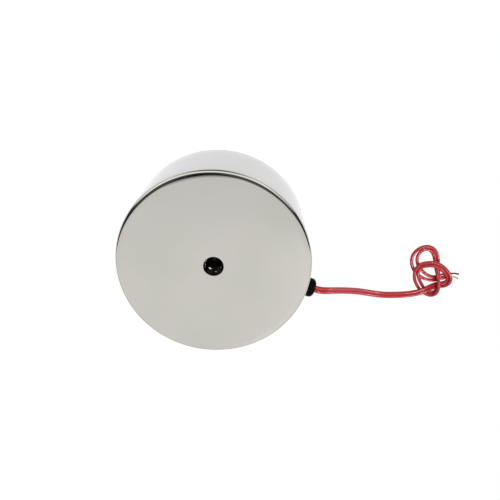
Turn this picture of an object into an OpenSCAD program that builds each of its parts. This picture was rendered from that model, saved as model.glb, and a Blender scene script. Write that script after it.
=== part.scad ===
// Round holding electromagnet: turned steel pot, potted coil and two flying leads.
// It stands on its holding face at z = 0, with the mounting face on top and the leads leaving along +X.

/* [Pot body] */
// Outside diameter of the pot
body_d = 80; // [76:1:110]
// Height from the holding face to the mounting face
body_h = 38; // [34:1:60]
// Thickness of the outer pole ring
wall_t = 5; // [4:0.5:8]
// Thickness of the base behind the coil
base_t = 7; // [5:0.5:12]
// Diameter of the centre pole
core_d = 36; // [28:1:40]
// Rounding of the edge of the mounting face
edge_r = 1.5; // [0.5:0.1:3]
// Rounding of the outer edge of the holding face
pole_edge_r = 0.4; // [0.2:0.1:1]
// Tool radius in the bottom corners of the coil groove
groove_corner_r = 0.8; // [0.4:0.1:1.2]

/* [Mounting thread] */
// Major diameter of the tapped hole
thread_d = 8; // [6:1:12]
// Depth of full thread
thread_depth = 14; // [8:1:20]
// Width of the chamfer at the mouth of the tapped hole
thread_chamfer = 0.3; // [0.1:0.1:1]
// Point angle of the drill
drill_point = 118; // [90:1:140]

/* [Coil] */
// Clearance between the bobbin and the centre pole
bobbin_fit = 0.2; // [0.1:0.05:0.3]
// Wall thickness of the bobbin tube
bobbin_wall = 1.4; // [1.2:0.1:2]
// Thickness of the bobbin flanges
flange_t = 1.5; // [1:0.1:2.5]
// Gap between the bobbin flanges and the pot wall
flange_gap = 2; // [1.5:0.1:3]
// Depth of the winding's surface below the flange rims, which leaves room for the splices
splice_space = 3; // [2.6:0.1:4]
// Diameter of the winding wire
wire_d = 0.6; // [0.4:0.05:0.8]
// Thickness of the tape around the winding
tape_t = 0.3; // [0.1:0.05:0.5]
// Free strip of the winding left bare between the tape and the flange, where the finish wire leaves
tape_margin = 1.1; // [1:0.1:2]
// Width of the slot in the flange for the start wire
slot_w = 1.4; // [1:0.1:2]

/* [Pole seal] */
// Depth of the resin's edge below the holding face
seal_recess = 0.1; // [0.05:0.05:0.5]
// Sag of the resin's surface between the poles
seal_sag = 0.4; // [0.1:0.1:0.8]
// Depth of the bobbin below the holding face, filled with resin
seal_depth = 4; // [2:0.5:6]

/* [Grommet] */
// Diameter of the lead hole through the pot wall
lead_hole_d = 6; // [5:0.5:7]
// Diameter of the grommet's head
grommet_d = 8.2; // [7.6:0.1:10]
// Length of the grommet's head outside the wall
grommet_out = 5; // [3:0.5:8]
// Rounding of the outer end of the head
grommet_round = 1.8; // [0.5:0.1:2.4]

/* [Leads] */
// Outside diameter of a lead
lead_d = 1.6; // [1.2:0.1:1.8]
// Gap between the leads where they run side by side
lead_gap = 0.05; // [0.05:0.05:0.2]
// Length of bare wire at the end of a lead
strip_len = 4; // [3:0.5:8]
// Diameter of the twisted and tinned bare wire
tip_d = 0.8; // [0.5:0.1:1]
// Outside diameter of a splice sleeve
sleeve_d = 2.4; // [2.2:0.1:2.6]
// Length of a splice sleeve
sleeve_len = 6; // [4:0.5:7]

/* [Hidden] */
$fn = 128;

// Clearance between a fixed piece and its seat
seat_fit = 0.05;
// Overshoot of a cutting shape
cut = 1;

// Radii and heights inside the pot
body_r = body_d / 2;
core_r = core_d / 2;
groove_r = body_r - wall_t;
groove_top = body_h - base_t;
tube_in_r = core_r + bobbin_fit;
tube_r = tube_in_r + bobbin_wall;
flange_r = groove_r - flange_gap;
winding_r = flange_r - splice_space;
tape_r = winding_r + seat_fit + tape_t;
window_low = seal_depth + flange_t;
window_top = groove_top - flange_t;
turns = floor((window_top - window_low) / wire_d + 0.001);

// Places of the lead exit and the splices
lead_pitch = lead_d + lead_gap;
exit_z = groove_top - lead_hole_d / 2;
exit_x = body_r + grommet_out;
grommet_in_x = groove_r - 0.2;
sleeve_x = tape_r + sleeve_d / 2 + seat_fit;
bend_r = grommet_in_x - sleeve_x - 0.2;
sleeve_y = lead_pitch / 2 + bend_r + 0.6;
splice_y = sleeve_y + sleeve_len / 2;
slot_angle = atan2(sleeve_y + sleeve_len + 3.5, sleeve_x);

// Lead diameter and exit height for which the resting route of the leads is given
route_d = 1.6;
route_z = 28;

// Middle line of the lead pair past the grommet, as
// [distance out, distance to the side, height above the table, extra half gap, roll of the pair]
pair_route = [
    [0, 0, 28, 0, 0],
    [2.5, 0, 28, 0, 0],
    [6, 0.4, 26.6, 0, 0],
    [10.5, 0.3, 23.1, 0, 0],
    [16.9, -0.2, 17.9, 0, 0],
    [23.9, -0.7, 12.9, 0, 0],
    [31.2, -1.5, 8.7, 0, 0],
    [38.4, -1.7, 5.3, 0, 0],
    [43.9, -0.6, 3.7, 0, 0],
    [49.5, 1.1, 2.8, 0, 0],
    [53.3, 3.1, 2.7, 0, 0],
    [56.1, 5, 2.7, 0, 0],
    [57.8, 7, 2.8, 0, 0],
    [60.2, 8.6, 1.4, 0, 0],
    [62.2, 10.1, 0.8, 0, 0],
    [64.4, 11, 1.1, 0, -15],
    [65.6, 12.8, 2.7, 0, -50],
    [65.9, 15.5, 3.3, 0, -60],
    [63.9, 17.7, 3.5, 0, -45],
    [61.1, 19.2, 3.8, 0, -15],
    [57.4, 20.7, 4.6, 0, 0],
    [54.3, 20.7, 4.6, 0, 0],
    [51.9, 19.1, 3.4, 0, 0],
    [50, 17.6, 2.7, 0, 0],
    [49, 14.9, 2.7, 0, 0],
    [49.8, 12.5, 2.6, 0.05, 0],
    [51.1, 10.2, 2.6, 0.2, 0],
    [54.2, 7.5, 1, 0.3, 0],
    [56.8, 5.6, 0.8, 0.15, 0],
    [59.4, 4.8, 1.2, 0, -25],
    [62.1, 5, 1.8, 0, -68],
    [62.6, 7.9, 3.7, 0, -88],
    [61.5, 11.1, 5, 0, -100],
    [60.4, 13.4, 4.3, 0, -100],
    [59.3, 15.8, 3.7, 0, -115],
    [58.5, 17.9, 2, 0, -150],
    [57.3, 20.5, 0.9, 0, -175],
    [55.4, 23.8, 0.8, 0, -180],
    [52.6, 26.2, 1.1, 0, -195],
    [49.3, 26.6, 1.3, 0, -205],
    [46.9, 24.6, 1.1, 0.1, -195],
    [45.8, 21.5, 0.8, 0.35, -180],
    [46.3, 18.3, 0.9, 0.45, -180],
    [48.7, 15, 0.9, 0.6, -180],
    [52.3, 13, 0.85, 0.6, -180],
    [55.9, 12.1, 0.85, 0.3, -180],
    [59.5, 12.4, 0.85, 0, -180],
    [62.4, 14.6, 0.85, 0, -180],
    [64.5, 16.1, 0.85, 0, -180],
    [66.4, 17, 0.85, 0, -180]
];

// Directions in which the two bare ends spread, as [along the lead, to its left, up] per unit length
tip_spread = [[0.9, -0.4, -0.05], [0.98, -0.2, 0]];

// Vector and curve functions
function unit(v) = v / norm(v);

function left_of(t) = unit([-t[1], t[0], 0]);

function tangent(p, i) = unit(p[min(i + 1, len(p) - 1)] - p[max(i - 1, 0)]);

// Point i + t of the smooth cubic that follows the points p from its first to its last
function follow(p, i, t) =
    let (
        last = len(p) - 1,
        a = i > 0 ? p[i - 1] : 2 * p[0] - p[1],
        b = p[i],
        c = p[i + 1],
        d = i + 2 <= last ? p[i + 2] : 2 * p[last] - p[last - 1]
    )
    (pow(1 - t, 3) * a + (3 * pow(t, 3) - 6 * t * t + 4) * b
        + (3 * t * t - 3 * pow(t, 3) + 3 * t + 1) * c + pow(t, 3) * d) / 6;

function followed(p, steps) = [
    for (i = [0:len(p) - 2], k = [0:steps - 1]) follow(p, i, k / steps),
    p[len(p) - 1]
];

// Height of a route point: the loops grow with the lead, and the start follows the exit
function route_height(z) = z * lead_d / route_d + (exit_z - route_z * lead_d / route_d) * pow(z / route_z, 3);

// Pair's middle line in the part's frame, with its extra gap and roll
pair_line = [
    for (q = followed(pair_route, 2))
    let (grow = lead_d / route_d)
    [q[0] * grow + exit_x, q[1] * grow, route_height(q[2]), q[3] * grow, q[4]]
];
pair_mid = [for (q = pair_line) [q[0], q[1], q[2]]];

function free_point(i, way) =
    let (
        t = tangent(pair_mid, i),
        l = left_of(t),
        u = cross(t, l),
        roll = pair_line[i][4],
        gap = lead_pitch / 2 + pair_line[i][3]
    )
    pair_mid[i] + way * gap * (cos(roll) * l + sin(roll) * u);

// Centre line of one lead from its splice to the end of its insulation; way is 1 or -1
function lead_points(way) = concat(
    [[sleeve_x, way * splice_y, exit_z], [sleeve_x, way * (splice_y - sleeve_len / 2), exit_z]],
    [
        for (a = [180:30:270])
        [
            sleeve_x + bend_r + bend_r * cos(a),
            way * (lead_pitch / 2 + bend_r + bend_r * sin(a)),
            exit_z
        ]
    ],
    [[grommet_in_x + 1, way * lead_pitch / 2, exit_z], [exit_x - 1, way * lead_pitch / 2, exit_z]],
    [for (i = [0:len(pair_mid) - 1]) free_point(i, way)]
);

// Centre line of the bare end of a lead
function tip_points(way) =
    let (
        p = lead_points(way),
        last = len(p) - 1,
        t = unit(p[last] - p[last - 1]),
        l = left_of(t),
        s = tip_spread[way > 0 ? 0 : 1]
    )
    [
        for (k = [0:5])
        let (run = strip_len * k / 5, bend = max(0, k - 1) / 4)
        p[last] + run * (t + bend * ((s[0] - 1) * t + s[1] * l + [0, 0, s[2]]))
    ];

// Winding's start wire: out of the sleeve, up into the flange slot and in to the bobbin tube
function tail_start_points() =
    let (
        z = window_top + wire_d / 2 + seat_fit,
        c = cos(slot_angle),
        s = sin(slot_angle)
    )
    [
        [sleeve_x, splice_y, exit_z],
        [sleeve_x, sleeve_y + sleeve_len + 0.5, exit_z],
        [(flange_r - 0.6) * c, (flange_r - 0.6) * s - 1, exit_z + 0.3],
        [(flange_r - 1.3) * c, (flange_r - 1.3) * s, (exit_z + z) / 2 + 0.3],
        [(flange_r - 2.6) * c, (flange_r - 2.6) * s, z],
        [(tube_r + wire_d) * c, (tube_r + wire_d) * s, z]
    ];

// Winding's finish wire: out of the sleeve and down onto the last turn beside the tape
function tail_finish_points() =
    let (
        r = winding_r + wire_d / 2 + seat_fit,
        z = window_top - wire_d,
        a = -atan2(sleeve_y + sleeve_len + 2, sleeve_x)
    )
    [
        [sleeve_x, -splice_y, exit_z],
        [sleeve_x, -sleeve_y - sleeve_len - 0.5, exit_z],
        for (k = [1:4])
        let (q = a - 4 * k, m = k / 4, d = (1 - m) * (sleeve_x - r))
        [(r + d) * cos(q), (r + d) * sin(q), exit_z + (z - exit_z) * min(1, m * 1.4)]
    ];

// Round tube along the points p
module cord(p, d, sides = 8) {
    n = len(p);
    rings = [
        for (i = [0:n - 1])
        let (t = tangent(p, i), l = left_of(t), u = cross(t, l))
        for (k = [0:sides - 1])
        let (a = 360 * (k + 0.5) / sides)
        p[i] + d / 2 * (cos(a) * l + sin(a) * u)
    ];
    skin = [
        for (i = [0:n - 2], k = [0:sides - 1])
        let (m = (k + 1) % sides)
        [i * sides + k, (i + 1) * sides + k, (i + 1) * sides + m, i * sides + m]
    ];
    start = [for (k = [0:sides - 1]) k];
    end = [for (k = [sides - 1:-1:0]) (n - 1) * sides + k];
    polyhedron(rings, concat([start], skin, [end]), convexity = 10);
}

// Corner between two straight edges and the arc that rounds them
module corner(r) {
    difference() {
        square([r + cut, r + cut]);
        circle(r);
    }
}

// Half section of the pot's groove with its two rounded corners
module groove_section() {
    w = groove_r - core_r;
    translate([core_r, -cut]) square([w, groove_top + cut - groove_corner_r]);
    translate([core_r + groove_corner_r, 0]) square([w - 2 * groove_corner_r, groove_top]);
    for (x = [core_r + groove_corner_r, groove_r - groove_corner_r]) {
        translate([x, groove_top - groove_corner_r]) circle(groove_corner_r);
    }
}

// Half section of the tapped hole with its mouth chamfer and drill point
module thread_section() {
    r = thread_d / 2;
    point = r / tan(drill_point / 2);
    polygon([
        [0, body_h + cut],
        [r + thread_chamfer + cut, body_h + cut],
        [r, body_h - thread_chamfer],
        [r, body_h - thread_depth],
        [0, body_h - thread_depth - point]
    ]);
}

// Turned steel pot with base, outer pole ring and centre pole
module pot_body() {
    color([0.78, 0.77, 0.74])
    difference() {
        rotate_extrude() {
            difference() {
                square([body_r, body_h]);
                groove_section();
                thread_section();
                translate([body_r - edge_r, body_h - edge_r]) corner(edge_r);
                translate([body_r - pole_edge_r, pole_edge_r]) mirror([0, 1]) corner(pole_edge_r);
            }
        }
        translate([core_r + cut, 0, exit_z]) rotate([0, 90, 0]) cylinder(d = lead_hole_d, h = body_r);
    }
}

// Nylon bobbin with a slot in its upper flange for the start wire
module coil_bobbin() {
    bevel = groove_corner_r + 0.1;
    color([0.9, 0.89, 0.84])
    difference() {
        rotate_extrude() {
            polygon([
                [tube_in_r, seal_depth],
                [flange_r, seal_depth],
                [flange_r, window_low],
                [tube_r, window_low],
                [tube_r, window_top],
                [flange_r, window_top],
                [flange_r, groove_top],
                [tube_in_r + bevel, groove_top],
                [tube_in_r, groove_top - bevel]
            ]);
        }
        rotate(slot_angle)
        translate([tube_r, -slot_w / 2, window_top - cut / 2])
        cube([flange_r, slot_w, flange_t + cut]);
    }
}

// Copper winding, with the turns of its outer layer showing as bevelled ridges
module coil_winding() {
    in_r = tube_r + seat_fit;
    valley_r = winding_r - wire_d / 4;
    ridges = [
        for (k = [0:turns - 1])
        each [
            [valley_r, window_low + k * wire_d],
            [winding_r, window_low + (k + 0.25) * wire_d],
            [winding_r, window_low + (k + 0.75) * wire_d]
        ]
    ];
    color([0.72, 0.4, 0.2])
    rotate_extrude() polygon(concat([[in_r, window_low]], ridges, [[valley_r, window_top], [in_r, window_top]]));
}

// Tape around the winding
module coil_tape() {
    color([0.85, 0.7, 0.2])
    rotate_extrude() {
        translate([winding_r + seat_fit, window_low]) {
            square([tape_t, window_top - window_low - tape_margin]);
        }
    }
}

// Resin ring between the poles, sagging a little at its surface
module pole_seal() {
    in_r = core_r + seat_fit;
    w = groove_r - seat_fit - in_r;
    sag_r = (w * w / 4 + seal_sag * seal_sag) / (2 * seal_sag);
    color([0.12, 0.12, 0.13])
    rotate_extrude() {
        difference() {
            union() {
                translate([in_r, seal_recess]) square([w, seal_depth - seal_recess]);
                translate([flange_r + seat_fit, seal_recess]) {
                    square([flange_gap - 2 * seat_fit, window_low - seal_recess]);
                }
            }
            translate([in_r + w / 2, seal_recess + seal_sag - sag_r]) circle(sag_r, $fn = 360);
        }
    }
}

// Half section of the grommet's head along its axis, with the rounded outer end
module head_section() {
    difference() {
        square([grommet_d / 2, exit_x - groove_r]);
        translate([grommet_d / 2 - grommet_round, exit_x - groove_r - grommet_round]) corner(grommet_round);
    }
}

// Rubber grommet: a head that hugs the wall, a barrel in the hole and an oval passage for the leads
module lead_grommet() {
    passage_d = lead_d + 2 * seat_fit;
    color([0.05, 0.05, 0.05])
    difference() {
        union() {
            difference() {
                translate([groove_r, 0, exit_z]) rotate([0, 90, 0]) rotate_extrude() head_section();
                cylinder(r = body_r + seat_fit, h = body_h * 2);
            }
            translate([grommet_in_x, 0, exit_z])
            rotate([0, 90, 0])
            cylinder(d = lead_hole_d - 2 * seat_fit, h = body_r + grommet_out / 2 - grommet_in_x);
        }
        for (way = [-1, 1]) {
            translate([groove_r - cut, way * lead_pitch / 2, exit_z])
            rotate([0, 90, 0])
            cylinder(d = passage_d, h = wall_t + grommet_out + 2 * cut);
        }
        translate([groove_r - cut, -lead_pitch / 2, exit_z - passage_d / 2])
        cube([wall_t + grommet_out + 2 * cut, lead_pitch, passage_d]);
    }
}

// Red insulated lead, from its splice inside the pot to the end of its insulation
module lead_wire(way) {
    color([0.78, 0.1, 0.12]) cord(lead_points(way), lead_d);
}

module lead_wire_1() {
    lead_wire(1);
}

module lead_wire_2() {
    lead_wire(-1);
}

// Stripped, twisted and tinned end of a lead
module lead_tip(way) {
    color([0.75, 0.73, 0.7]) cord(tip_points(way), tip_d);
}

module lead_tip_1() {
    lead_tip(1);
}

module lead_tip_2() {
    lead_tip(-1);
}

// Sleeve over the joint of a lead and a coil tail
module splice_sleeve(way) {
    color([0.1, 0.1, 0.1])
    translate([sleeve_x, way * splice_y, exit_z])
    rotate([90, 0, 0])
    difference() {
        cylinder(d = sleeve_d, h = sleeve_len, center = true);
        cylinder(d = lead_d + 2 * seat_fit, h = sleeve_len + cut, center = true);
    }
}

module splice_sleeve_1() {
    splice_sleeve(1);
}

module splice_sleeve_2() {
    splice_sleeve(-1);
}

// Winding's start wire
module coil_tail_start() {
    color([0.72, 0.4, 0.2]) cord(tail_start_points(), wire_d);
}

// Winding's finish wire
module coil_tail_finish() {
    color([0.72, 0.4, 0.2]) cord(tail_finish_points(), wire_d);
}

pot_body();
coil_bobbin();
coil_winding();
coil_tape();
pole_seal();
lead_grommet();
lead_wire_1();
lead_wire_2();
lead_tip_1();
lead_tip_2();
splice_sleeve_1();
splice_sleeve_2();
coil_tail_start();
coil_tail_finish();
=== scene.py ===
"""Dressed model of a round holding electromagnet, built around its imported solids.

The plated pot stands on its holding face with the tapped mounting face up. A
rubber grommet in its wall lets out two red leads, which end in a loose tangle
on the floor. Sizes are in millimetres in the classes and in metres in the scene.
"""

import logging
import math
from abc import ABC, abstractmethod
from collections.abc import Sequence
from dataclasses import dataclass
from enum import Enum, IntEnum

import bmesh
import bpy
from mathutils import Matrix, Vector


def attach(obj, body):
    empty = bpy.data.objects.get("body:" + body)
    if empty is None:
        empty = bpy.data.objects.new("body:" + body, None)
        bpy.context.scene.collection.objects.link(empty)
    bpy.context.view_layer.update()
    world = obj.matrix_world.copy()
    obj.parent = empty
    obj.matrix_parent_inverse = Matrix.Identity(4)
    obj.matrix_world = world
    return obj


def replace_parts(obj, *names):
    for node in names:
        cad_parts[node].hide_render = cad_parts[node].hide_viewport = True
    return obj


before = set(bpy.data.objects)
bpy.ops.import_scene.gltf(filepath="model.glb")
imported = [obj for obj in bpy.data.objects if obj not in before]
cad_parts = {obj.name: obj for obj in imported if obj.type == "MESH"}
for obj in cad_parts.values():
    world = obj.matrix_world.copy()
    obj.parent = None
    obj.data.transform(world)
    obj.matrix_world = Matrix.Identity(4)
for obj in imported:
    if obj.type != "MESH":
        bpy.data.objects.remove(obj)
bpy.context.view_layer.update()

MM = 0.001
ROOT = "root"
LOG = logging.getLogger("holding_magnet")

# Lowest and highest value that a noise pattern usually gives
NOISE_LOW = 0.3
NOISE_HIGH = 0.7

Triple = tuple[float, float, float]
Section = Sequence[tuple[float, float]]


# Node graphs


class Graph:
    """Short hand for writing one node tree."""

    def __init__(self, tree: bpy.types.NodeTree) -> None:
        """Takes over a tree and empties it."""
        self.tree = tree
        tree.nodes.clear()

    def node(self, kind: str, **settings: object) -> bpy.types.Node:
        """Adds a node.

        Args:
            kind: Type name of the node.
            settings: Properties of the node to set.

        Returns:
            The new node.
        """
        made = self.tree.nodes.new(kind)
        for name, value in settings.items():
            setattr(made, name, value)
        return made

    def feed(self, node: bpy.types.Node, **values: object) -> bpy.types.Node:
        """Sets or links inputs of a node by position or name.

        Args:
            node: The node whose inputs are fed.
            values: Input names, with _ for a space and a leading n for a
                position, and a constant or an output socket for each.

        Returns:
            The same node.
        """
        for key, value in values.items():
            numbered = key[0] == "n" and key[1:].isdigit()
            socket = node.inputs[int(key[1:]) if numbered else key.replace("_", " ")]
            if isinstance(value, bpy.types.NodeSocket):
                self.tree.links.new(value, socket)
            else:
                socket.default_value = value
        return node

    def maths(self, operation: str, *values: object) -> bpy.types.NodeSocket:
        """Adds a Math node.

        Args:
            operation: Name of the operation.
            values: Its constants or sockets, in order.

        Returns:
            The socket of its result.
        """
        made = self.node("ShaderNodeMath", operation=operation)
        self.feed(made, **{f"n{i}": value for i, value in enumerate(values)})
        return made.outputs[0]


class Coordinates(Enum):
    """Coordinates that a pattern follows."""

    PLACE = "Object"
    LENGTH = "UV"


class SurfaceGraph(Graph):
    """Node tree of one finish, around one shader."""

    def __init__(self, name: str) -> None:
        """Starts a material with a shader and nothing on it.

        Args:
            name: Name of the material.
        """
        self.material = bpy.data.materials.new(name)
        self.material.use_nodes = True
        super().__init__(self.material.node_tree)
        self.shader = self.node("ShaderNodeBsdfPrincipled")
        output = self.node("ShaderNodeOutputMaterial")
        self.feed(output, Surface=self.shader.outputs["BSDF"])

    def where(
        self, source: Coordinates = Coordinates.PLACE, stretch: Triple = (1.0, 1.0, 1.0)
    ) -> bpy.types.NodeSocket:
        """Gives the coordinates of a pattern.

        Args:
            source: Which coordinates to read.
            stretch: Scale along each axis.

        Returns:
            The socket of the scaled coordinates.
        """
        read = self.node("ShaderNodeTexCoord").outputs[source.value]
        mapped = self.feed(self.node("ShaderNodeMapping"), Vector=read, Scale=stretch)
        return mapped.outputs["Vector"]

    def noise(
        self, where: bpy.types.NodeSocket, scale: float, detail: float = 3.0
    ) -> bpy.types.NodeSocket:
        """Adds a noise pattern.

        Args:
            where: Coordinates to read.
            scale: Features per metre.
            detail: Number of finer layers.

        Returns:
            The socket of its value, about 0.3 to 0.7.
        """
        made = self.node("ShaderNodeTexNoise")
        self.feed(made, Vector=where, Scale=scale, Detail=detail)
        return made.outputs[0]

    def span(
        self, value: bpy.types.NodeSocket, low: float, high: float
    ) -> bpy.types.NodeSocket:
        """Maps a noise value to a range.

        Args:
            value: Noise value.
            low: Result at the noise's low side.
            high: Result at its high side.

        Returns:
            The socket of the mapped value.
        """
        made = self.node("ShaderNodeMapRange")
        self.feed(made, n0=value, n1=NOISE_LOW, n2=NOISE_HIGH, n3=low, n4=high)
        return made.outputs[0]

    def blend(
        self,
        share: bpy.types.NodeSocket,
        first: Triple,
        second: Triple,
        start: float = NOISE_LOW,
    ) -> bpy.types.NodeSocket:
        """Runs between two colours.

        Args:
            share: Noise value, whose low side gives the first colour.
            first: First colour.
            second: Second colour.
            start: Noise value up to which the first colour is pure.

        Returns:
            The socket of the colour.
        """
        made = self.node("ShaderNodeValToRGB")
        ramp = made.color_ramp
        ramp.elements[0].position, ramp.elements[0].color = start, (*first, 1.0)
        ramp.elements[1].position, ramp.elements[1].color = NOISE_HIGH, (*second, 1.0)
        self.feed(made, Fac=share)
        return made.outputs["Color"]

    def bump(
        self,
        height: bpy.types.NodeSocket,
        depth: float,
        under: bpy.types.NodeSocket | None = None,
    ) -> bpy.types.NodeSocket:
        """Adds relief.

        Args:
            height: Height pattern.
            depth: Its height in metres.
            under: Normal of a relief that this one lies on.

        Returns:
            The socket of the normal.
        """
        made = self.feed(self.node("ShaderNodeBump"), Height=height, Distance=depth)
        if under is not None:
            self.feed(made, Normal=under)
        return made.outputs["Normal"]


# Finishes


@dataclass(frozen=True)
class Finish(ABC):
    """Surface of one of the magnet's materials.

    Attributes:
        name: Name of the material.
        slot: Material slot of the record that it stands for. Not used.
    """

    name: str
    slot: str

    @abstractmethod
    def write(self, graph: SurfaceGraph) -> None:
        """Writes the finish's nodes."""

    def material(self) -> bpy.types.Material:
        """Gives the material, which is made when it is first asked for.

        Returns:
            The material.
        """
        made = bpy.data.materials.get(self.name)
        if made is None:
            graph = SurfaceGraph(self.name)
            self.write(graph)
            made = graph.material
        return made


class Lay(Enum):
    """Marks that a tool leaves on steel, as marks per metre along each axis."""

    BUFFED = (900.0, 900.0, 900.0)
    GROUND = (60.0, 5200.0, 60.0)
    CUT = (300.0, 300.0, 7000.0)


@dataclass(frozen=True)
class PlatedSteel(Finish):
    """Steel with the marks of its last tool, plated and bright, or near black where its colour is painted
    shade in the hole.

    Attributes:
        lay: Tool marks in the steel.
        plain: Colour between its clouds, which is painted shade in the hole's finishes.
        cloudy: Colour of its clouds, which is painted shade in the bore's finish and painted glints on the
            thread.
        begin: Noise value at which the clouds begin.
        cloud: Number of clouds per metre.
        gloss: Roughness of its clean and of its hazy places.
        haze: Number of hazy places per metre.
        relief: Height of the tool marks in metres.
        swell: Number of low swells per metre.
        swell_height: Height of the swells in metres.
        edge_tint: Colour of what it mirrors at a glancing angle.
    """

    lay: Lay = Lay.BUFFED
    plain: Triple = (0.662, 0.656, 0.655)
    cloudy: Triple = (0.622, 0.621, 0.618)
    begin: float = NOISE_LOW
    cloud: float = 38.0
    gloss: tuple[float, float] = (0.035, 0.075)
    haze: float = 130.0
    relief: float = 1.2e-6
    swell: float = 55.0
    swell_height: float = 6.0e-6
    edge_tint: Triple = (0.9, 0.9, 0.9)

    def write(self, graph: SurfaceGraph) -> None:
        """Writes clouds, haze, swells and tool marks. In the hole's finishes the clouds are painted shade
        and painted glints.

        Args:
            graph: Node tree of the finish.
        """
        place = graph.where()
        # These clouds give painted shade in the bore and painted glints on the thread.
        clouds = graph.noise(place, self.cloud, detail=2.0)
        haze = graph.noise(place, self.haze, detail=4.0)
        marks = graph.noise(graph.where(stretch=self.lay.value), 1.0, detail=2.0)
        swells = graph.noise(place, self.swell, detail=1.0)
        lower = graph.bump(swells, self.swell_height)
        graph.feed(
            graph.shader,
            Base_Color=graph.blend(clouds, self.plain, self.cloudy, self.begin),
            Metallic=1.0,
            Specular_Tint=(*self.edge_tint, 1.0),
            Roughness=graph.span(haze, *self.gloss),
            Normal=graph.bump(marks, self.relief, lower),
        )


@dataclass(frozen=True)
class SoftPlastic(Finish):
    """Moulded or drawn plastic, rubber or resin.

    Attributes:
        pale: Colour of its light places.
        deep: Colour of its darker places.
        gloss: Roughness of its smooth and of its dull places.
        mottle: Number of colour clouds per metre.
        dull: How much finer its dull places are than its colour clouds.
        grain: Number of grains in its relief per metre.
        relief: Height of the relief in metres.
        follows: Coordinates that its patterns follow.
        stretch: Stretch of its patterns along each axis.
        mirror: How much it mirrors, 0.5 being usual.
    """

    pale: Triple = (0.5, 0.5, 0.5)
    deep: Triple = (0.4, 0.4, 0.4)
    gloss: tuple[float, float] = (0.3, 0.45)
    mottle: float = 120.0
    dull: float = 3.1
    grain: float = 1500.0
    relief: float = 1.0e-5
    follows: Coordinates = Coordinates.PLACE
    stretch: Triple = (1.0, 1.0, 1.0)
    mirror: float = 0.5

    def write(self, graph: SurfaceGraph) -> None:
        """Writes colour clouds, dull places and a fine relief.

        Args:
            graph: Node tree of the finish.
        """
        place = graph.where(self.follows, self.stretch)
        clouds = graph.noise(place, self.mottle)
        dull = graph.noise(place, self.mottle * self.dull)
        grain = graph.noise(place, self.grain, detail=2.0)
        graph.feed(
            graph.shader,
            Base_Color=graph.blend(clouds, self.pale, self.deep),
            Roughness=graph.span(dull, *self.gloss),
            Specular_IOR_Level=self.mirror,
            Normal=graph.bump(grain, self.relief),
        )


@dataclass(frozen=True)
class WireMetal(Finish):
    """Drawn wire, bare, tinned or enamelled.

    Attributes:
        pale: Colour of its clean places.
        deep: Colour of its tarnished places.
        gloss: Roughness of its smooth places and of its drawing marks.
        spots: Number of tarnished places per metre.
        marks: Number of drawing marks per metre.
        relief: Height of the drawing marks in metres.
        enamel: Weight of the clear enamel over it.
    """

    pale: Triple = (0.60, 0.53, 0.50)
    deep: Triple = (0.30, 0.24, 0.22)
    gloss: tuple[float, float] = (0.3, 0.5)
    spots: float = 700.0
    marks: float = 5200.0
    relief: float = 4.0e-6
    enamel: float = 0.0

    def write(self, graph: SurfaceGraph) -> None:
        """Writes tarnish and drawing marks.

        Args:
            graph: Node tree of the finish.
        """
        place = graph.where()
        tarnish = graph.noise(place, self.spots)
        drawn = graph.noise(place, self.marks, detail=2.0)
        graph.feed(
            graph.shader,
            Base_Color=graph.blend(tarnish, self.pale, self.deep),
            Metallic=1.0,
            Roughness=graph.span(drawn, *self.gloss),
            Coat_Weight=self.enamel,
            Normal=graph.bump(drawn, self.relief),
        )


BRIGHT_PLATE = PlatedSteel("bright_plate", "nickel_plate")
GROUND_POLES = PlatedSteel(
    "ground_poles",
    "nickel_plate",
    lay=Lay.GROUND,
    gloss=(0.2, 0.34),
    relief=2.5e-6,
)
# Finish of the bore, drill point and chamfer: its near-black colour is painted shade of the deep hole.
PAINTED_SHADE_BORE = PlatedSteel(
    "painted_shade_bore",
    "nickel_plate",
    lay=Lay.CUT,
    plain=(0.03, 0.028, 0.026),
    cloudy=(0.010, 0.0095, 0.009),
    gloss=(0.2, 0.35),
    relief=4.0e-6,
    cloud=300.0,
)
# Finish of the thread: its near-black ground is painted shade, and its rare bright clouds are painted
# glints, their scale set so that they fall at the lower left of the hole.
PAINTED_SHADE_AND_GLINT_THREAD = PlatedSteel(
    "painted_shade_and_glint_thread",
    "nickel_plate",
    lay=Lay.CUT,
    plain=(0.012, 0.011, 0.010),
    cloudy=(0.8, 0.79, 0.76),
    gloss=(0.1, 0.2),
    relief=2.0e-6,
    cloud=540.0,
    begin=0.6,
)
RED_VINYL = SoftPlastic(
    "red_vinyl",
    "red_insulation",
    pale=(0.59, 0.041, 0.052),
    deep=(0.50, 0.031, 0.041),
    gloss=(0.17, 0.26),
    mottle=600.0,
    grain=2600.0,
    relief=1.5e-6,
    follows=Coordinates.LENGTH,
    stretch=(1.0, 0.12, 1.0),
    mirror=0.42,
)
BLACK_RUBBER = SoftPlastic(
    "black_rubber",
    "rubber",
    pale=(0.004, 0.004, 0.0045),
    deep=(0.002, 0.002, 0.0025),
    gloss=(0.16, 0.28),
    mottle=420.0,
    grain=3200.0,
    relief=5.0e-6,
    mirror=0.03,
)
CAST_RESIN = SoftPlastic(
    "cast_resin",
    "resin",
    pale=(0.020, 0.020, 0.022),
    deep=(0.011, 0.011, 0.013),
    gloss=(0.12, 0.3),
    mottle=90.0,
    grain=260.0,
    relief=6.0e-5,
)
MOULDED_NYLON = SoftPlastic(
    "moulded_nylon",
    "nylon",
    pale=(0.78, 0.76, 0.68),
    deep=(0.70, 0.68, 0.60),
    gloss=(0.4, 0.55),
)
YELLOW_TAPE = SoftPlastic(
    "yellow_tape",
    "tape",
    pale=(0.70, 0.46, 0.05),
    deep=(0.62, 0.39, 0.04),
    gloss=(0.2, 0.35),
    stretch=(1.0, 1.0, 3.0),
)
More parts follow.
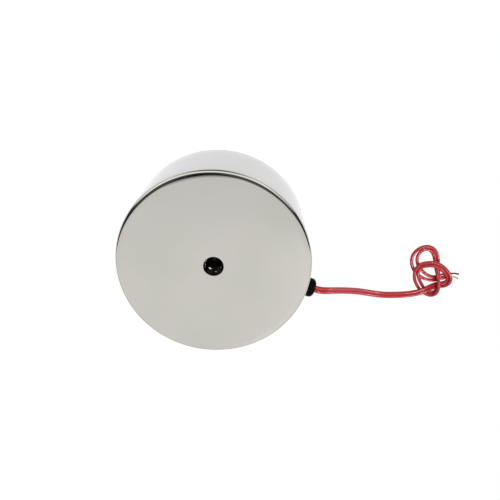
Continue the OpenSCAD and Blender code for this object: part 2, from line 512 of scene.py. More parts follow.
SHRINK_SLEEVE = SoftPlastic(
    "shrink_sleeve",
    "sleeve",
    pale=(0.014, 0.014, 0.015),
    deep=(0.009, 0.009, 0.010),
    gloss=(0.45, 0.6),
)
TINNED_WIRE = WireMetal("tinned_wire", "tinned_wire")
BROWNED_WIRE = WireMetal(
    "browned_wire",
    "tinned_wire",
    pale=(0.26, 0.15, 0.085),
    deep=(0.07, 0.04, 0.025),
)
ENAMELLED_COPPER = WireMetal(
    "enamelled_copper",
    "copper",
    pale=(0.72, 0.30, 0.13),
    deep=(0.58, 0.22, 0.09),
    enamel=0.6,
)


# Meshes


def smooth(mesh: bpy.types.Mesh, sharp: float) -> None:
    """Shades a mesh smooth, but for edges that bend more than an angle in degrees."""
    mesh.shade_smooth()
    mesh.set_sharp_from_angle(angle=math.radians(sharp))


@dataclass
class Loft:
    """Skin over rows of points, each of which runs once round the piece.

    Attributes:
        rows: Rows of as many points each, in metres.
        wrap: Whether the last row joins the first.
        first_pole: Point that closes the first row.
        last_pole: Point that closes the last row.
        bands: Material number of the skin after each row, 0 where not given.
    """

    rows: list[list[Vector]]
    wrap: bool = False
    first_pole: Vector | None = None
    last_pole: Vector | None = None
    bands: Sequence[int] = ()

    def lengths(self) -> list[float]:
        """Measures along the first column of points.

        Returns:
            Each row's distance from the first row.
        """
        total = [0.0]
        for before, after in zip(self.rows, self.rows[1:]):
            total.append(total[-1] + (after[0] - before[0]).length)
        return total

    def band(self, row: int) -> int:
        """Gives the material number after a row."""
        return self.bands[row] if row < len(self.bands) else 0

    def mesh(self, name: str, sharp: float = 32.0) -> bpy.types.Mesh:
        """Makes the mesh, closed, smooth and with faces outwards.

        Args:
            name: Name of the mesh.
            sharp: Angle in degrees past which an edge stays sharp.

        Returns:
            The mesh, with a map of metres round and along the piece.
        """
        skin = bmesh.new()
        layer = skin.loops.layers.uv.new("Lengthwise")
        points = [[skin.verts.new(p) for p in row] for row in self.rows]
        along = self.lengths()
        count = len(self.rows[0])
        girth = max(
            sum((row[k] - row[k - 1]).length for k in range(count)) for row in self.rows
        )
        steps = len(points) if self.wrap else len(points) - 1
        for i in range(steps):
            j = (i + 1) % len(points)
            for k in range(count):
                m = (k + 1) % count
                face = skin.faces.new((points[i][k], points[i][m], points[j][m], points[j][k]))
                face.material_index = self.band(i)
                ends = ((k, i), (k + 1, i), (k + 1, i + 1), (k, i + 1))
                for loop, (turn, row) in zip(face.loops, ends):
                    length = along[row] if row < len(along) else along[-1]
                    loop[layer].uv = (girth * turn / count, length)
        for pole, row, band in (
            (self.first_pole, points[0], self.band(0)),
            (self.last_pole, points[-1], self.band(len(points) - 1)),
        ):
            if pole is not None:
                tip = skin.verts.new(pole)
                for k in range(count):
                    face = skin.faces.new((row[k], row[(k + 1) % count], tip))
                    face.material_index = band
        bmesh.ops.recalc_face_normals(skin, faces=skin.faces)
        made = bpy.data.meshes.new(name)
        skin.to_mesh(made)
        skin.free()
        smooth(made, sharp)
        return made


def turned(section: Section, bands: Sequence[int] = (), sides: int = 192) -> Loft:
    """Turns a half section about the upright axis.

    Args:
        section: Points of radius and height in millimetres. A first or last
            point on the axis closes the piece there; without, it is a ring.
        bands: Material number after each point.
        sides: Number of sides.

    Returns:
        The loft.
    """
    ends = (section[0], section[-1])
    poles = [Vector((0.0, 0.0, z * MM)) if r == 0.0 else None for r, z in ends]
    ring = [(r, z) for r, z in section if r > 0.0]
    turns = [2.0 * math.pi * k / sides for k in range(sides)]
    rows = [
        [Vector((r * math.cos(a), r * math.sin(a), z)) * MM for a in turns] for r, z in ring
    ]
    skipped = 1 if poles[0] is not None else 0
    return Loft(rows, poles == [None, None], poles[0], poles[1], list(bands)[skipped:])


def arc(
    centre: tuple[float, float], radius: float, start: float, end: float, steps: int
) -> list[tuple[float, float]]:
    """Gives the points of an arc in a half section.

    Args:
        centre: Its centre.
        radius: Its radius.
        start: Angle of its first point in degrees.
        end: Angle of its last point in degrees.
        steps: Number of steps.

    Returns:
        The points, first and last among them.
    """
    angles = [math.radians(start + (end - start) * k / steps) for k in range(steps + 1)]
    return [(centre[0] + radius * math.cos(a), centre[1] + radius * math.sin(a)) for a in angles]


def shown(name: str, mesh: bpy.types.Mesh, *finishes: Finish) -> bpy.types.Object:
    """Puts a mesh in the scene as a piece that rides on the magnet.

    Args:
        name: Name of the piece.
        mesh: Its mesh.
        finishes: Its finishes by material number. Those that the mesh has already are kept.

    Returns:
        The piece.
    """
    piece = bpy.data.objects.new(name, mesh)
    bpy.context.scene.collection.objects.link(piece)
    for finish in finishes[len(mesh.materials) :]:
        mesh.materials.append(finish.material())
    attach(piece, ROOT)
    return piece


def report(piece: bpy.types.Object) -> None:
    """Logs a piece and its number of triangles."""
    triangles = sum(len(face.vertices) - 2 for face in piece.data.polygons)
    LOG.info("%s: %d triangles", piece.name, triangles)


class GeometryRule(Graph):
    """Geometry node tree that makes one piece from its named sizes."""

    def __init__(self, name: str, needs_path: bool = False) -> None:
        """Starts a tree.

        Args:
            name: Name of the tree.
            needs_path: Whether it reads the geometry of its own object.
        """
        super().__init__(bpy.data.node_groups.new(name, "GeometryNodeTree"))
        self.sizes: dict[str, float | int] = {}
        face = self.tree.interface
        if needs_path:
            face.new_socket("Path", in_out="INPUT", socket_type="NodeSocketGeometry")
        face.new_socket("Piece", in_out="OUTPUT", socket_type="NodeSocketGeometry")
        self.given = self.node("NodeGroupInput")

    def size(self, name: str, value: float | int) -> bpy.types.NodeSocket:
        """Adds a named size.

        Args:
            name: Name of the input.
            value: Its value, in metres where it is a length.

        Returns:
            The socket that gives it inside the tree.
        """
        kind = "NodeSocketInt" if isinstance(value, int) else "NodeSocketFloat"
        item = self.tree.interface.new_socket(name, in_out="INPUT", socket_type=kind)
        self.sizes[item.identifier] = value
        return self.given.outputs[name]

    def finish(self, piece: bpy.types.NodeSocket, finish: Finish) -> None:
        """Ends the tree.

        Args:
            piece: Geometry of the piece.
            finish: Finish that it gets.
        """
        real = self.feed(self.node("GeometryNodeRealizeInstances"), Geometry=piece)
        dressed = self.feed(
            self.node("GeometryNodeSetMaterial"),
            Geometry=real.outputs[0],
            Material=finish.material(),
        )
        self.feed(self.node("NodeGroupOutput"), n0=dressed.outputs[0])

    def mesh(self, name: str, path: Sequence[Vector] = ()) -> bpy.types.Mesh:
        """Runs the rule.

        Args:
            name: Name of the mesh.
            path: Points of the line that the rule follows, in metres.

        Returns:
            A plain mesh.
        """
        line = bpy.data.meshes.new(name + "_line")
        line.from_pydata(path, [(i, i + 1) for i in range(len(path) - 1)], [])
        holder = bpy.data.objects.new(name + "_rule", line)
        bpy.context.scene.collection.objects.link(holder)
        modifier = holder.modifiers.new("rule", "NODES")
        modifier.node_group = self.tree
        for key, value in self.sizes.items():
            modifier[key] = value
        graph = bpy.context.evaluated_depsgraph_get()
        made = bpy.data.meshes.new_from_object(holder.evaluated_get(graph), depsgraph=graph)
        made.name = name
        holder.modifiers.remove(modifier)
        bpy.data.objects.remove(holder)
        bpy.data.meshes.remove(line)
        return made


# Studio


@dataclass
class Studio:
    """Camera, floor and light.

    Attributes:
        eye: Place of the camera in millimetres.
        aim: Point in the middle of its picture in millimetres.
        upward: Direction that is up in the picture.
        lens: Focal length in millimetres.
        sensor: Width of the camera's sensor in millimetres.
        near: Distance in metres from which the camera sees.
        turn: Turn of the sky about the upright axis in degrees.
        sky: Brightness of the sky from the horizon in front over the top to
            the horizon behind, as share of the half circle and brightness.
        gap: Least and greatest forward share of a direction in the dark gap
            overhead, how far each widens to the sides, and its soft edge.
        gap_light: Level of the gap in its middle, and how much it loses to
            the sides.
        spots: Dark spots, each with the sideways share and the half circle's
            share of its middle, its two half sizes and its level.
        low: Brightness of the sky at the horizon, and the upward share of a
            direction from which it is full.
        lift: Sideways shares, then half circle's shares, between which the
            sky grows brighter, and by how much.
        strength: Brightness of the sky where its share is 1.
        tone: Colour of the sky.
        fill: Place and size in metres and power in watts of the wide lamp
            overhead.
        keys: The same of each small lamp for the leads and the grommet.
        cloth: Grey of the pale cloth on floor and backdrop in dull light.
        glow: Brightness of that cloth under its own lamps.
        floor_half: Half width of the floor in metres.
        floor_z: Height of the floor in metres, just under the magnet.
        backdrop_r: Radius of the backdrop in metres.
        backdrop_top: Height of its upper edge in metres.
    """

    eye: Triple = (-11.31, 86.6, 234.78)
    aim: Triple = (16.09, -2.8, 0.0)
    upward: Triple = (-0.3059, 0.8773, -0.3697)
    lens: float = 38.19
    sensor: float = 36.0
    near: float = 0.005
    turn: float = -19.2
    sky: Sequence[tuple[float, float]] = (
        (0.0, 0.1),
        (0.02, 0.62),
        (0.3, 0.75),
        (0.42, 0.78),
        (0.5, 0.55),
        (0.58, 0.54),
        (0.63, 0.58),
        (0.68, 0.588),
        (1.0, 0.6),
    )
    gap: tuple[float, ...] = (-0.09, 0.09, 0.12, 0.2, 0.07)
    gap_light: tuple[float, float] = (0.11, 0.14)
    spots: Sequence[tuple[float, ...]] = (
        (-0.12, 0.522, 0.14, 0.056, 0.06),
        (-0.02, 0.165, 0.55, 0.15, 0.0),
        (0.85, 0.2, 0.3, 0.2, 0.4),
    )
    low: tuple[float, float] = (0.35, 0.45)
    lift: tuple[float, ...] = (-0.02, 0.11, 0.6, 0.622, 0.08)
    strength: float = 1.52
    tone: tuple[float, ...] = (1.0, 0.985, 0.913, 1.0)
    fill: tuple[Triple, float, float] = ((0.0, 0.0, 0.9), 1.2, 1.0)
    keys: Sequence[tuple[Triple, float, float]] = (
        ((-0.03, 0.22, 0.6), 0.1, 1.9),
        ((0.357, -0.135, 0.522), 0.1, 1.2),
        ((0.635, 0.15, 0.129), 0.12, 1.0),
    )
    cloth: float = 0.06
    glow: float = 1.01
    floor_half: float = 4.0
    floor_z: float = -0.0002
    backdrop_r: float = 3.88
    backdrop_top: float = 3.5

    def camera(self) -> None:
        """Places the camera at the photograph's viewing angle."""
        eye, aim = Vector(self.eye) * MM, Vector(self.aim) * MM
        back = (eye - aim).normalized()
        right = Vector(self.upward).cross(back).normalized()
        turn = Matrix((right, back.cross(right), back)).transposed()
        data = bpy.data.cameras.new("camera")
        data.sensor_width, data.lens = self.sensor, self.lens
        data.clip_start = self.near
        camera = bpy.data.objects.new("camera", data)
        camera.matrix_world = Matrix.Translation(eye) @ turn.to_4x4()
        bpy.context.scene.collection.objects.link(camera)
        bpy.context.scene.camera = camera

    def sweep(self) -> bpy.types.Material:
        """Makes the pale cloth of floor and backdrop, which glows as a lit one does.

        Returns:
            The material.
        """
        graph = SurfaceGraph("pale_cloth")
        graph.feed(
            graph.shader,
            Base_Color=(self.cloth, self.cloth, self.cloth, 1.0),
            Roughness=0.9,
            Specular_IOR_Level=0.0,
            Emission_Color=(1.0, 1.0, 1.0, 1.0),
            Emission_Strength=self.glow,
        )
        return graph.material

    def staged(
        self, name: str, corners: Sequence[Triple], faces: Sequence[tuple[int, ...]]
    ) -> bpy.types.Object:
        """Sets up a piece of the stage, which sends no light onto dull surfaces.

        Args:
            name: Its name.
            corners: Its corners in metres.
            faces: Numbers of the corners of each face.

        Returns:
            The piece.
        """
        mesh = bpy.data.meshes.new(name)
        mesh.from_pydata(corners, [], faces)
        mesh.materials.append(bpy.data.materials.get("pale_cloth") or self.sweep())
        piece = bpy.data.objects.new(name, mesh)
        piece.visible_diffuse = False
        bpy.context.scene.collection.objects.link(piece)
        return piece

    def floor(self) -> None:
        """Lays the floor and stands the backdrop round it, which no plate mirrors."""
        half, low, sides = self.floor_half, self.floor_z, 48
        self.staged(
            "floor",
            [(-half, -half, low), (half, -half, low), (half, half, low), (-half, half, low)],
            [(0, 1, 2, 3)],
        )
        turns = [math.tau * k / sides for k in range(sides)]
        ring = [(self.backdrop_r * math.cos(a), self.backdrop_r * math.sin(a)) for a in turns]
        backdrop = self.staged(
            "backdrop",
            [(x, y, z) for z in (low, self.backdrop_top) for x, y in ring],
            [(k, (k + 1) % sides, (k + 1) % sides + sides, k + sides) for k in range(sides)],
        )
        backdrop.visible_glossy = False
        backdrop.visible_shadow = False

    def light(self) -> None:
        """Builds a soft studio sky with a dark gap overhead where the camera stands."""
        world = bpy.data.worlds.new("studio")
        bpy.context.scene.world = world
        world.use_nodes = True
        world.cycles_visibility.diffuse = False
        graph = Graph(world.node_tree)
        way = graph.node("ShaderNodeTexCoord").outputs["Generated"]
        turned_way = graph.feed(
            graph.node("ShaderNodeMapping", vector_type="VECTOR"),
            Vector=way,
            Rotation=(0.0, 0.0, math.radians(self.turn)),
        )
        parts = graph.feed(graph.node("ShaderNodeSeparateXYZ"), n0=turned_way.outputs[0])
        angle = graph.maths("ARCTAN2", parts.outputs[2], parts.outputs[1])
        share = graph.maths("DIVIDE", angle, math.pi)
        ramp = graph.node("ShaderNodeValToRGB")
        stops = ramp.color_ramp.elements
        while len(stops) < len(self.sky):
            stops.new(1.0)
        for stop, (place, level) in zip(stops, self.sky):
            stop.position, stop.color = place, (level, level, level, 1.0)
        graph.feed(ramp, Fac=share)
        sideways = parts.outputs[0]
        side_gain = self.bright_side(graph, sideways, share)
        level = graph.maths("MULTIPLY", ramp.outputs["Color"], side_gain)
        level = graph.maths("MULTIPLY", level, self.dark_gap(graph, sideways, parts.outputs[1]))
        for spot in self.spots:
            level = graph.maths("MULTIPLY", level, self.spot_level(graph, sideways, share, spot))
        rise = graph.node("ShaderNodeMapRange")
        graph.feed(rise, n0=parts.outputs[2], n1=0.0, n2=self.low[1], n3=self.low[0], n4=1.0)
        level = graph.maths("MULTIPLY", level, rise.outputs[0])
        level = graph.maths("MULTIPLY", level, self.strength)
        glow = graph.feed(graph.node("ShaderNodeBackground"), Color=self.tone, Strength=level)
        graph.feed(graph.node("ShaderNodeOutputWorld"), Surface=glow.outputs[0])

    def lamp(self, name: str, place: Triple, size: float, power: float) -> bpy.types.Object:
        """Hangs a round lamp, turned to the magnet.

        Args:
            name: Name of the lamp.
            place: Its place in metres.
            size: Its diameter in metres.
            power: Its power in watts.

        Returns:
            The lamp.
        """
        data = bpy.data.lights.new(name, "AREA")
        data.shape, data.size, data.energy = "DISK", size, power
        lamp = bpy.data.objects.new(name, data)
        lamp.location = place
        lamp.visible_camera = False
        lamp.rotation_euler = Vector(place).to_track_quat("Z", "Y").to_euler()
        bpy.context.scene.collection.objects.link(lamp)
        return lamp

    def shine_on(self, pieces: Sequence[bpy.types.Object]) -> None:
        """Hangs the key lamps, shaded from all but some pieces.

        Args:
            pieces: The pieces that they light.
        """
        lit = bpy.data.collections.new("lit_by_key_lamps")
        for piece in pieces:
            lit.objects.link(piece)
        for number, key in enumerate(self.keys, start=1):
            self.lamp(f"key_lamp_{number}", *key).light_linking.receiver_collection = lit

    def step(
        self, graph: Graph, value: bpy.types.NodeSocket, start: float, end: float
    ) -> bpy.types.NodeSocket:
        """Rises softly from 0 to 1.

        Args:
            graph: Node tree of the sky.
            value: Value to follow.
            start: Value that gives 0.
            end: Value that gives 1.

        Returns:
            The socket of the result.
        """
        made = graph.node("ShaderNodeMapRange", interpolation_type="SMOOTHSTEP")
        return graph.feed(made, n0=value, n1=start, n2=end).outputs[0]

    def bright_side(
        self, graph: Graph, sideways: bpy.types.NodeSocket, share: bpy.types.NodeSocket
    ) -> bpy.types.NodeSocket:
        """Gives more than 1 at one side behind, and 1 elsewhere.

        Args:
            graph: Node tree of the sky.
            sideways: Sideways share of the direction.
            share: Share of the half circle from front to back.

        Returns:
            The socket of the value.
        """
        side_low, side_high, low, high, gain = self.lift
        side = self.step(graph, sideways, side_low, side_high)
        both = graph.maths("MULTIPLY", side, self.step(graph, share, low, high))
        return graph.maths("MULTIPLY_ADD", both, gain, 1.0)

    def dark_gap(
        self, graph: Graph, sideways: bpy.types.NodeSocket, forward: bpy.types.NodeSocket
    ) -> bpy.types.NodeSocket:
        """Gives a low value in the gap between the lit cloths and 1 elsewhere.

        Args:
            graph: Node tree of the sky.
            sideways: Sideways share of the direction.
            forward: Forward share of the direction.

        Returns:
            The socket of the value.
        """
        low, high, widen_low, widen_high, soft = self.gap
        aside = graph.maths("MULTIPLY", sideways, sideways)
        behind = graph.maths("MULTIPLY_ADD", aside, widen_low, forward)
        before = graph.maths("MULTIPLY_ADD", aside, -widen_high, forward)
        clear = graph.maths(
            "MAXIMUM",
            self.step(graph, behind, low, low - soft),
            self.step(graph, before, high, high + soft),
        )
        middle, loss = self.gap_light
        return graph.maths("MAXIMUM", clear, graph.maths("MULTIPLY_ADD", aside, -loss, middle))

    def spot_level(
        self,
        graph: Graph,
        sideways: bpy.types.NodeSocket,
        share: bpy.types.NodeSocket,
        spot: tuple[float, ...],
    ) -> bpy.types.NodeSocket:
        """Gives the level of a spot in its middle and 1 outside it.

        Args:
            graph: Node tree of the sky.
            sideways: Sideways share of the direction.
            share: Share of the half circle from front to back.
            spot: The spot.

        Returns:
            The socket of the value.
        """
        side, middle, half_side, half_share, inner = spot
        x = graph.maths("DIVIDE", graph.maths("SUBTRACT", sideways, side), half_side)
        y = graph.maths("DIVIDE", graph.maths("SUBTRACT", share, middle), half_share)
        away = graph.maths("MULTIPLY_ADD", x, x, graph.maths("MULTIPLY", y, y))
        level = graph.node("ShaderNodeMapRange")
        return graph.feed(level, n0=away, n1=0.0, n2=1.0, n3=inner, n4=1.0).outputs[0]

    def build(self) -> None:
        """Sets up the studio."""
        bpy.context.scene.view_settings.view_transform = "Standard"
        self.camera()
        self.floor()
        self.light()
        self.lamp("fill_lamp", *self.fill).visible_glossy = False
        LOG.info("studio")


# Leads


@dataclass
class LeadPair:
    """Two red leads from their splices to their bare ends.

    Attributes:
        diameter: Outside diameter of a lead.
        pitch: Distance between the leads where they run side by side.
        exit_x: Distance of the grommet's end from the axis.
        exit_z: Height of the leads where they leave the grommet.
        splice_x: Distance of the splices from the axis.
        splice_y: Distance of a splice from the middle plane.
        bend_r: Radius of the bend between splice and grommet.
        entry_x: Distance from the axis past which a lead runs straight
            through the grommet.
        start_x: Distance from the axis at which the free lead starts, inside
            the grommet.
        straight: Length of the lead's straight end inside the grommet.
        sleeve: Length of a splice sleeve.
        bare: Length of a bare end.
        length: Length of a free lead to its cut end. Not used.
        core: Diameter of the strands together.
        strand: Diameter of one strand.
        strand_count: Number of strands.
        buried: Length of the strands inside the lead's end.
        hollow: Depth of the hollow in a lead's cut end.
        cut_edge: Length and depth of the soft edge of a cut end.
        spread: Way in which each bare end leaves its lead, as shares along
            it, to its left and up.
        flare: How far the strands of each bare end part.
        turns: Turns of the strands in each bare end.
        route: Middle of the pair past the grommet, as distance out, distance
            to the side, height, extra half gap and roll of the pair.
    """

    diameter: float = 1.62
    pitch: float = 1.65
    exit_x: float = 45.0
    exit_z: float = 28.0
    splice_x: float = 31.6
    splice_y: float = 7.425
    bend_r: float = 3.0
    entry_x: float = 35.8
    start_x: float = 42.0
    straight: float = 1.5
    sleeve: float = 6.0
    bare: float = 3.9
    length: float = 183.0
    core: float = 0.8
    strand: float = 0.3
    strand_count: int = 6
    buried: float = 0.8
    hollow: float = 0.6
    cut_edge: tuple[float, float] = (0.1, 0.07)
    spread: Sequence[Triple] = ((0.9, -0.4, -0.05), (0.98, -0.2, 0.0))
    flare: Sequence[float] = (0.45, 0.1)
    turns: Sequence[float] = (0.45, 1.1)
    route: Sequence[tuple[float, ...]] = (
        (0, 0, 28, 0, 0),
        (2.5, 0, 28, 0, 0),
        (6, 0.4, 26.6, 0, 0),
        (10.5, 0.3, 23.1, 0, 0),
        (16.9, -0.2, 17.9, 0, 0),
        (23.9, -0.7, 12.9, 0, 0),
        (31.2, -1.5, 8.7, 0, 0),
        (38.4, -1.7, 5.3, 0, 0),
        (43.9, -0.6, 3.7, 0, 0),
        (49.5, 1.1, 2.8, 0, 0),
        (53.3, 3.1, 2.7, 0, 0),
        (56.1, 5, 2.7, 0, 0),
        (57.8, 7, 2.8, 0, 0),
        (60.2, 8.6, 1.4, 0, 0),
        (62.2, 10.1, 0.8, 0, 0),
        (64.4, 11, 1.1, 0, -15),
        (65.6, 12.8, 2.7, 0, -50),
        (65.9, 15.5, 3.3, 0, -60),
        (63.9, 17.7, 3.5, 0, -45),
        (61.1, 19.2, 3.8, 0, -15),
        (57.4, 20.7, 4.6, 0, 0),
        (54.3, 20.7, 4.6, 0, 0),
        (51.9, 19.1, 3.4, 0, 0),
        (50, 17.6, 2.7, 0, 0),
        (49, 14.9, 2.7, 0, 0),
        (49.8, 12.5, 2.6, 0.05, 0),
        (51.1, 10.2, 2.6, 0.2, 0),
        (54.2, 7.5, 1, 0.3, 0),
        (56.8, 5.6, 0.8, 0.15, 0),
        (59.4, 4.8, 1.2, 0, -25),
        (62.1, 5, 1.8, 0, -68),
        (62.6, 7.9, 3.7, 0, -88),
        (61.5, 11.1, 5, 0, -100),
        (60.4, 13.4, 4.3, 0, -100),
        (59.3, 15.8, 3.7, 0, -115),
        (58.5, 17.9, 2, 0, -150),
        (57.3, 20.5, 0.9, 0, -175),
        (55.4, 23.8, 0.8, 0, -180),
        (52.6, 26.2, 1.1, 0, -195),
        (49.3, 26.6, 1.3, 0, -205),
        (46.9, 24.6, 1.1, 0.1, -195),
        (45.8, 21.5, 0.8, 0.35, -180),
        (46.3, 18.3, 0.9, 0.45, -180),
        (48.7, 15, 0.9, 0.6, -180),
        (52.3, 13, 0.85, 0.6, -180),
        (55.9, 12.1, 0.85, 0.3, -180),
        (59.5, 12.4, 0.85, 0, -180),
        (62.4, 14.6, 0.85, 0, -180),
        (64.5, 16.1, 0.85, 0, -180),
        (66.4, 17, 0.85, 0, -180),
    )

    def middle(self, steps: int = 6) -> list[tuple[float, ...]]:
        """Follows the route with a smooth cubic.

        Args:
            steps: Points between two points of the route.

        Returns:
            Points of the pair's middle line with their gap and roll.
        """
        given = [Vector(q) for q in self.route]
        given = [2 * given[0] - given[1], *given, 2 * given[-1] - given[-2]]
        line = []
        for a, b, c, d in zip(given, given[1:], given[2:], given[3:]):
            for k in range(steps):
                t = k / steps
                line.append(
                    (
                        (1 - t) ** 3 * a
                        + (3 * t**3 - 6 * t**2 + 4) * b
                        + (3 * t**2 - 3 * t**3 + 3 * t + 1) * c
                        + t**3 * d
                    )
                    / 6
                )
        return [tuple(q) for q in (*line, given[-2])]

    def inside(self, way: int) -> list[Vector]:
        """Gives a lead's line from its splice into the grommet.

        Args:
            way: 1 or -1, the side of the pair.

        Returns:
            Points in millimetres.
        """
        x, half = self.splice_x, self.pitch / 2
        flat = [(x, self.splice_y), (x, self.splice_y - self.sleeve / 2)]
        flat += arc((x + self.bend_r, half + self.bend_r), self.bend_r, 180, 270, 8)
        flat += [(self.entry_x, half), (self.start_x, half)]
        return [Vector((px, way * py, self.exit_z)) for px, py in flat]

    def line(self, way: int) -> list[Vector]:
        """Gives the middle line of a free lead.

        Args:
            way: 1 or -1, the side of the pair.

        Returns:
            Points in millimetres from inside the grommet to the cut end.
        """
        middle = self.middle()
        points = [Vector((q[0] + self.exit_x, q[1], q[2])) for q in middle]
        half = way * self.pitch / 2
        starts = (self.start_x, self.exit_x - self.straight)
        free = [Vector((x, half, self.exit_z)) for x in starts]
        for i, (point, given) in enumerate(zip(points, middle)):
            ahead = points[min(i + 1, len(points) - 1)] - points[max(i - 1, 0)]
            ahead.normalize()
            left = Vector((-ahead.y, ahead.x, 0.0)).normalized()
            roll = math.radians(given[4])
            across = math.cos(roll) * left + math.sin(roll) * ahead.cross(left)
            free.append(point + way * (self.pitch / 2 + given[3]) * across)
        return free

    def bare_line(self, way: int) -> list[Vector]:
        """Gives the middle line of a bare end.

        Args:
            way: 1 or -1, the side of the pair.

        Returns:
            Points in millimetres from inside the lead to the tip.
        """
        line = self.line(way)
        end, ahead = line[-1], (line[-1] - line[-2]).normalized()
        left = Vector((-ahead.y, ahead.x, 0.0)).normalized()
        along, aside, up = self.spread[0 if way > 0 else 1]
        turn = (along - 1.0) * ahead + aside * left + Vector((0.0, 0.0, up))
        points = [end - self.buried * ahead]
        steps, straight = 10, 0.2
        for k in range(steps + 1):
            share = k / steps
            bend = max(0.0, share - straight) / (1.0 - straight)
            points.append(end + self.bare * share * (ahead + bend * turn))
        return points

    def tube(self, line: Sequence[Vector], sides: int = 16) -> Loft:
        """Draws the insulation over a line, hollow for a bit at its end.

        Args:
            line: Points in millimetres.
            sides: Number of sides.

        Returns:
            The loft.
        """
        aheads = [
            (line[min(i + 1, len(line) - 1)] - line[max(i - 1, 0)]).normalized()
            for i in range(len(line))
        ]
        out, core = self.diameter / 2, self.core / 2
        rings = [(i, 0.0, out) for i in range(len(line))]
        length, depth = self.cut_edge
        rings[-1:] = [(-1, -length, out), (-1, 0.0, out - depth), (-1, 0.0, core), (-1, -self.hollow, core)]
        rows, across = [], Vector((0.0, 0.0, 1.0))
        for i, shift, radius in rings:
            ahead = aheads[i]
            across = (across - across.dot(ahead) * ahead).normalized()
            side = ahead.cross(across)
            middle = line[i] + shift * ahead
            turns = [2 * math.pi * k / sides for k in range(sides)]
            rows.append(
                [MM * (middle + radius * (math.cos(a) * across + math.sin(a) * side)) for a in turns]
            )
        return Loft(rows, False, MM * line[0], MM * (line[-1] - self.hollow * aheads[-1]))

    def strands(self, number: int) -> bpy.types.Object:
        """Twists the strands of a bare end.

        Args:
            number: 1 or 2, the lead.

        Returns:
            The bare end.
        """
        rule = GeometryRule(f"twisted_strands_{number}", needs_path=True)
        count = rule.size("Strands", self.strand_count)
        strand = rule.size("Strand radius", self.strand / 2 * MM)
        lay = rule.size("Lay radius", (self.core - self.strand) / 2 * MM)
        turns = rule.size("Turns", self.turns[number - 1])
        flare = rule.size("Flare", self.flare[number - 1])
        path = rule.feed(rule.node("GeometryNodeMeshToCurve"), Mesh=rule.given.outputs["Path"])
        copies = rule.node("GeometryNodeDuplicateElements", domain="SPLINE")
        rule.feed(copies, Geometry=path.outputs[0], Amount=count)
        along = rule.node("GeometryNodeSplineParameter").outputs["Factor"]
        started = rule.maths("DIVIDE", copies.outputs["Duplicate Index"], count)
        angle = rule.maths("MULTIPLY", rule.maths("MULTIPLY_ADD", turns, along, started), math.tau)
        opened = rule.maths("MULTIPLY_ADD", flare, rule.maths("POWER", along, 2.0), 1.0)
        radius = rule.maths("MULTIPLY", lay, opened)
        normal = rule.node("GeometryNodeInputNormal").outputs[0]
        tangent = rule.node("GeometryNodeInputTangent").outputs[0]
        turned_way = rule.node("ShaderNodeVectorRotate")
        rule.feed(turned_way, Vector=normal, Axis=tangent, Angle=angle)
        offset = rule.node("ShaderNodeVectorMath", operation="SCALE")
        rule.feed(offset, n0=turned_way.outputs[0], Scale=radius)
        laid = rule.node("GeometryNodeSetPosition")
        rule.feed(laid, Geometry=copies.outputs[0], Offset=offset.outputs[0])
        round_wire = rule.node("GeometryNodeCurvePrimitiveCircle")
        rule.feed(round_wire, Resolution=8, Radius=strand)
        drawn = rule.node("GeometryNodeCurveToMesh")
        rule.feed(drawn, Curve=laid.outputs[0], Profile_Curve=round_wire.outputs[0])
        drawn.inputs["Fill Caps"].default_value = True
        finish = (TINNED_WIRE, BROWNED_WIRE)[number - 1]
        rule.finish(drawn.outputs[0], finish)
        way = (1, -1)[number - 1]
        mesh = rule.mesh(f"bare_end_{number}", [MM * p for p in self.bare_line(way)])
        smooth(mesh, sharp=50.0)
        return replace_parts(shown(f"bare_end_{number}", mesh, finish), f"lead_tip_{number}")

    def build(self, grommet: bpy.types.Object) -> list[bpy.types.Object]:
        """Builds both leads and their bare ends.

        Args:
            grommet: The grommet that both leads pass. Not used.

        Returns:
            The leads.
        """
        leads = []
        for number, way in ((1, 1), (2, -1)):
            name = f"red_lead_{number}"
            line = self.line(way)
            lead = shown(name, self.tube(line).mesh(name), RED_VINYL)
            root_name = f"lead_root_{number}"
            root = shown(root_name, self.tube(self.inside(way)).mesh(root_name), RED_VINYL)
            for piece in (lead, root):
                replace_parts(piece, f"lead_wire_{number}")
            bare = self.strands(number)
            for piece in (lead, root, bare):
                report(piece)
            leads.append(lead)
        return leads


# Grommet


